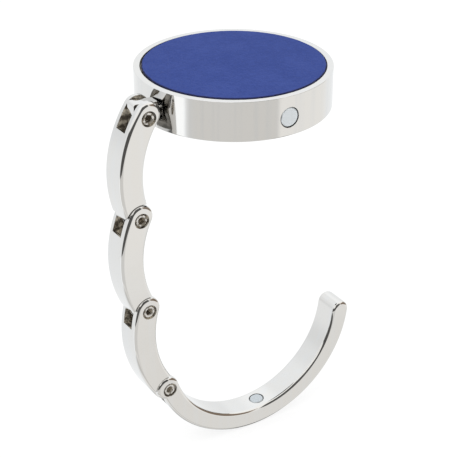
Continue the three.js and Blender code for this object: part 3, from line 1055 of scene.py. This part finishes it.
def inlay_points():
    """The turned profile, with a radius that wanders near the edge.

    The wander is the sum of three waves: size times sin(count times the angle + shift).
    """
    top, bottom = inlay_high.z, inlay_low.z
    profile = np.concatenate([
        [(0, bottom), (inlay_radius - inlay_foot_flat, bottom)],
        [(inlay_radius - inlay_foot_inset, bottom), (inlay_radius - inlay_foot, bottom + inlay_foot)],
        quarter(inlay_radius - inlay_roll, top - inlay_roll, inlay_roll, 0, 90),
        [(inlay_radius - inlay_roll - inlay_top_flat, top), (inlay_radius / 2, top), (0, top)],
    ])
    points = turned_points(profile, inlay_turns)
    angles = np.arange(inlay_turns) * 2 * math.pi / inlay_turns
    wander = sum(size * np.sin(count * angles + shift) for size, count, shift in wander_waves)
    near_edge = np.hypot(points[..., 0], points[..., 1]) / inlay_radius > 0.5
    points[..., :2] *= (1 - wander_share * (1 + wander[None]) * near_edge)[..., None]
    points[..., :2] += np.array(inlay_centre)
    return points


inlay_skin = make_finish(
    "leatherette", leatherette, inlay_high.z - inlay_skin_depth, inlay_centre, inlay_radius)
inlay_mesh = grid_mesh("inlay leatherette", inlay_points())
add_piece("inlay_leatherette", inlay_mesh, [inlay_skin], ["inlay"], "disc")

# %% [markdown]
# ## Hinge pins
#
# The pins are tubular rivets: the front end is a rolled ring round a hole, and the back end is a
# low domed head. Rings and cylinders could be put together, but one profile makes one closed skin.
# It runs from the bottom of the hole, out over the ring, along the shaft, and over the back head to
# the axis. The hole ends in a small dome, as the punch leaves it.

# %% Make the four hinge pins
pin_low, pin_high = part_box("hinge_pin_2")
pin_end = (pin_high.y - pin_low.y) / 2
pin_head_radius = (pin_high.x - pin_low.x) / 2
pin_shaft_radius = 1.1 * MM
pin_hole_radius = 0.71 * MM
pin_hole_depth = 1.6 * MM
pin_hole_corner = 0.05 * MM
pin_hole_margin = 0.01 * MM
pin_hole_dome = [(0, 0.2 * MM), (0.2 * MM, 0.17 * MM), (0.4 * MM, 0.08 * MM)]
pin_head_depth = 0.35 * MM
pin_roll = 0.15 * MM
pin_turns = 72


def pin_profile():
    """(radius, distance along the pin) from the hole's floor to the middle of the back head."""
    floor = pin_end - pin_hole_depth
    return np.concatenate([
        [(radius, floor + height) for radius, height in pin_hole_dome],
        [(pin_hole_radius - pin_hole_corner, floor), (pin_hole_radius, floor + pin_hole_corner)],
        [(pin_hole_radius, pin_end - pin_roll)],
        quarter(pin_hole_radius + pin_roll, pin_end - pin_roll, pin_roll, 180, 90),
        quarter(pin_head_radius - pin_roll, pin_end - pin_roll, pin_roll, 90, 0),
        [(pin_head_radius, pin_end - pin_head_depth), (pin_shaft_radius, pin_end - pin_head_depth)],
        [(pin_shaft_radius, pin_head_depth - pin_end), (pin_head_radius, pin_head_depth - pin_end)],
        quarter(pin_head_radius - pin_roll, pin_roll - pin_end, pin_roll, 0, -90),
        [(0, -pin_end)],
    ])


def make_pin(name, node, joint, body):
    """The turned profile laid along -Y, so that the hole faces the front of the chain."""
    axis = joint_at[joint]
    turned = turned_points(pin_profile(), pin_turns)
    points = np.stack([turned[..., 0], -turned[..., 2], turned[..., 1]], axis=-1)
    points += np.array(axis)
    mesh = grid_mesh(name, points)
    centres, _, _ = face_arrays(mesh)
    from_axis = np.hypot(centres[:, 0] - axis.x, centres[:, 2] - axis.z)
    in_hole = (from_axis < pin_hole_radius + pin_hole_margin) & (centres[:, 1] < chain_y)
    add_piece(name, mesh, [pin_skin, dull], [node], body)
    number_faces(mesh, in_hole)
    mesh.set_sharp_from_angle(angle=sharp_edge_angle)


for number, body in enumerate(link_bodies + ["bow"], start=1):
    make_pin(f"rivet_{number}", f"hinge_pin_{number}", f"hinge_{number}", body)

# %% [markdown]
# ## What keeps its solid
#
# The magnets, the washer, the nut, the cover, the pad and the films are simple enough as they are.
# They could be copied too, but there is nothing to refine, so they only get their finishes.

# %% Finish the plain solids
plain_solids = {
    "rim_magnet": rim_magnet_skin,
    "hook_magnet": bow_magnet_skin,
    "swivel_washer": steel,
    "swivel_nut": steel,
    "cover_plate": steel,
    "inlay_film": cream_film,
    "grip_pad_film": cream_film,
    "grip_pad": rubber,
}
for node, material in plain_solids.items():
    data = frame["nodes"][node].data
    data.materials.clear()
    data.materials.append(material)
    print(node, "has", material.name)

# %% [markdown]
# ## The studio
#
# Polished metal has no look of its own: it shows the room. Cards and walls could stand round the
# hook as objects, but they would get in the way of other views. So the world is a small studio
# written as brightness by direction. Azimuth is counted from the camera's side, with plus to its
# right, and height from the horizon. The photograph's reflections give the studio away: a grey card
# lies in front of the table, a bright card stands low on the left, and above the table's edge the
# room behind the camera is dark. The rounded front edges of the chain pick that room up as their
# thin dark lines. A brown shelf stands to the right of it.

# %% Directions, and the patches of the room
degree = math.pi / 180

room = {
    "grey card": ((-54, 53, 4), (-40, -21, 1)),
    "bright card": ((-74, -57, 2.5), (-45, -20, 4)),
    "dark room left": ((-52, 10, 5), (-20.3, 13, 1.2)),
    "dark room right": ((0, 57, 1.5), (-20.3, 50, 1.2)),
    "brown shelf": ((61.5, 125, 1.5), (-12, 32, 3)),
    "near table": ((-62, 82, 6), (-58, -43, 4)),
    "shaded table": ((84, 167, 5), (-69, -57, 1.5)),
}


def window(value, low, high, soft):
    """1 between low and high, 0 outside, with smooth slopes of twice the width soft."""
    return value.step(low - soft, low + soft) * (1 - value.step(high - soft, high + soft))


def room_patches(azimuth, height):
    """Each patch is 1 inside and 0 outside. Its spans are low, high and softness, in degrees."""
    return {
        name: window(azimuth, *sides) * window(height, *heights)
        for name, (sides, heights) in room.items()}


def direction_angles(bench):
    """Azimuth and height of a direction, in degrees: atan2(side, ahead) and asin(z)."""
    direction = bench.add("ShaderNodeTexCoord", output=0)
    x, y, z = bench.outputs("ShaderNodeSeparateXYZ", {0: direction}).values()
    front = Vector((towards_camera.x, towards_camera.y)).normalized()
    ahead = x * front.x + y * front.y
    side = y * front.x - x * front.y
    azimuth = side.math("ARCTAN2", side, ahead) * (1 / degree)
    height = z.math("ARCSINE", z) * (1 / degree)
    return azimuth, height


print("patches of the room:", list(room))

# %% [markdown]
# The brightness starts from white. The ceiling adds to it in two steps, the wall behind on the left
# takes a little, and the cards take or add. What is dark leaves only a share of it. All reflections
# could have one tint, but the room is warmer in front than at the sides. Only mirrors need all
# this: what is matt is lit by a plain even white, and the camera sees plain white too.

# %% World: brightness by direction
white_level = 1.0
ceiling_lift = 0.08
wall_loss = 0.1
right_card_loss = 0.1
grey_card_loss = 0.225
bright_card_gain = 0.3
shares_taken = {"dark room": 0.9, "brown shelf": 0.75, "near table": 0.3, "shaded table": 0.85}
straight_below_taken = 0.4
front_tint = (1.0, 0.985, 0.955)
side_tint = (0.985, 1.0, 1.01)
shelf_brown = (1.0, 0.78, 0.6)
plain_white = (1, 1, 1)


def studio_level(azimuth, height, patches):
    """White plus the ceiling, less the wall, less or plus the cards, times what the dark leaves."""
    level = white_level + ceiling_lift * height.step(8, 20) + ceiling_lift * height.step(26, 38)
    level = level - wall_loss * window(azimuth, -155, -92, 8) * height.step(-14, 4)
    right_card = azimuth.step(55, 62) * window(height, -75, -31, 3)
    level = level - grey_card_loss * patches["grey card"] - right_card_loss * right_card
    level = level + bright_card_gain * patches["bright card"]
    for name, share in shares_taken.items():
        level = level * (1 - share * patches[name])
    straight_below = 1 - height.step(-80, -66)
    return level * (1 - straight_below_taken * straight_below)


def studio_world():
    """The background shows the studio to mirrors, and plain white to all other rays."""
    world = bpy.data.worlds.new("studio")
    world.use_nodes = True
    bench = Bench(world.node_tree)
    azimuth, height = direction_angles(bench)
    patches = room_patches(azimuth, height)
    left, right = patches["dark room left"], patches["dark room right"]
    patches["dark room"] = left.math("MAXIMUM", left, right)
    level = studio_level(azimuth, height, patches)
    tint = mix_colours(bench, window(azimuth, -50, 130, 10), side_tint, front_tint)
    tint = mix_colours(bench, patches["brown shelf"], tint, shelf_brown)
    rays = bench.outputs("ShaderNodeLightPath")
    mirrored = rays["Is Glossy Ray"] + rays["Is Transmission Ray"]
    colour = mix_colours(bench, mirrored, plain_white, tint)
    seen = white_level + (level - white_level) * mirrored
    background = bench.add("ShaderNodeBackground", inputs={"Color": colour, "Strength": seen})
    bench.add("ShaderNodeOutputWorld", inputs={"Surface": background})
    print("world:", world.name, "nodes:", len(world.node_tree.nodes))
    return world


bpy.context.scene.world = studio_world()

# %% [markdown]
# ## Floor and key light
#
# The bow almost touches the white table, and leaves a small soft shadow there. The floor could be
# a shadow catcher, but that leaves nothing behind the shadow. So it is a white sheet that the
# camera sees as white, darkened only where the hook keeps light off it.

# %% Floor
floor_reach = 1.2
floor_rows = 9
floor_gap = 0.05 * MM
fibre_size = 0.6 * MM
fibre_tones = (0.93, 0.93, 0.93), (0.96, 0.96, 0.96)
glow_strength = 1.08
glow_share = 0.7


def white_sheet(bench):
    """Diffuse white, lifted towards plain white for the camera, so that only shadow shows.

    Seen from below it is clear, so that the grip pad can be looked at.
    """
    from_camera = bench.outputs("ShaderNodeLightPath")["Is Camera Ray"]
    from_below = bench.outputs("ShaderNodeNewGeometry")["Backfacing"]
    clear = bench.add("ShaderNodeBsdfTransparent")
    fibres = mix_colours(bench, cloud(bench, fibre_size), *fibre_tones)
    diffuse = bench.add("ShaderNodeBsdfDiffuse", inputs={"Color": fibres})
    white_glow = {"Color": (*plain_white, 1), "Strength": glow_strength}
    glow = bench.add("ShaderNodeEmission", inputs=white_glow)
    mixed = {0: from_camera * glow_share, 1: diffuse, 2: glow}
    sheet = bench.add("ShaderNodeMixShader", inputs=mixed)
    return bench.add("ShaderNodeMixShader", inputs={0: from_below, 1: sheet, 2: clear})


def make_floor():
    """A flat square grid just under the lowest point of the bow."""
    steps = np.linspace(-floor_reach, floor_reach, floor_rows)
    x, y = np.meshgrid(steps, steps, indexing="ij")
    points = np.stack([x, y, np.full_like(x, lowest - floor_gap)], axis=-1).reshape(-1, 3)
    corner = np.arange(floor_rows ** 2).reshape(floor_rows, floor_rows)
    faces = np.stack([corner[:-1, :-1], corner[1:, :-1], corner[1:, 1:], corner[:-1, 1:]], axis=-1)
    mesh = bpy.data.meshes.new("table sheet")
    mesh.from_pydata(points.tolist(), [], faces.reshape(-1, 4).tolist())
    mesh.materials.append(make_finish("white sheet", white_sheet))
    floor = bpy.data.objects.new("table_sheet", mesh)
    bpy.context.collection.objects.link(floor)
    floor.visible_glossy = False


make_floor()

# %% [markdown]
# The even white of the world could light the matt inlay alone, but then it looks flat. One large
# soft lamp adds a little direction to the light on it. No mirror shows the lamp.

# %% Lamp and view
key_size = 0.5
key_power = 1.0
key_place = (-0.35, -0.15, 0.6)

key_data = bpy.data.lights.new("soft key", "AREA")
key_data.shape = "DISK"
key_data.size = key_size
key_data.energy = key_power
key = bpy.data.objects.new("soft key", key_data)
key.location = key_place
key.rotation_euler = Vector(key.location).to_track_quat("Z", "Y").to_euler()
key.visible_glossy = False
bpy.context.collection.objects.link(key)
print("lamp distance, m:", round(key.location.length, 2))

bpy.context.scene.view_settings.view_transform = "Standard"

# %% [markdown]
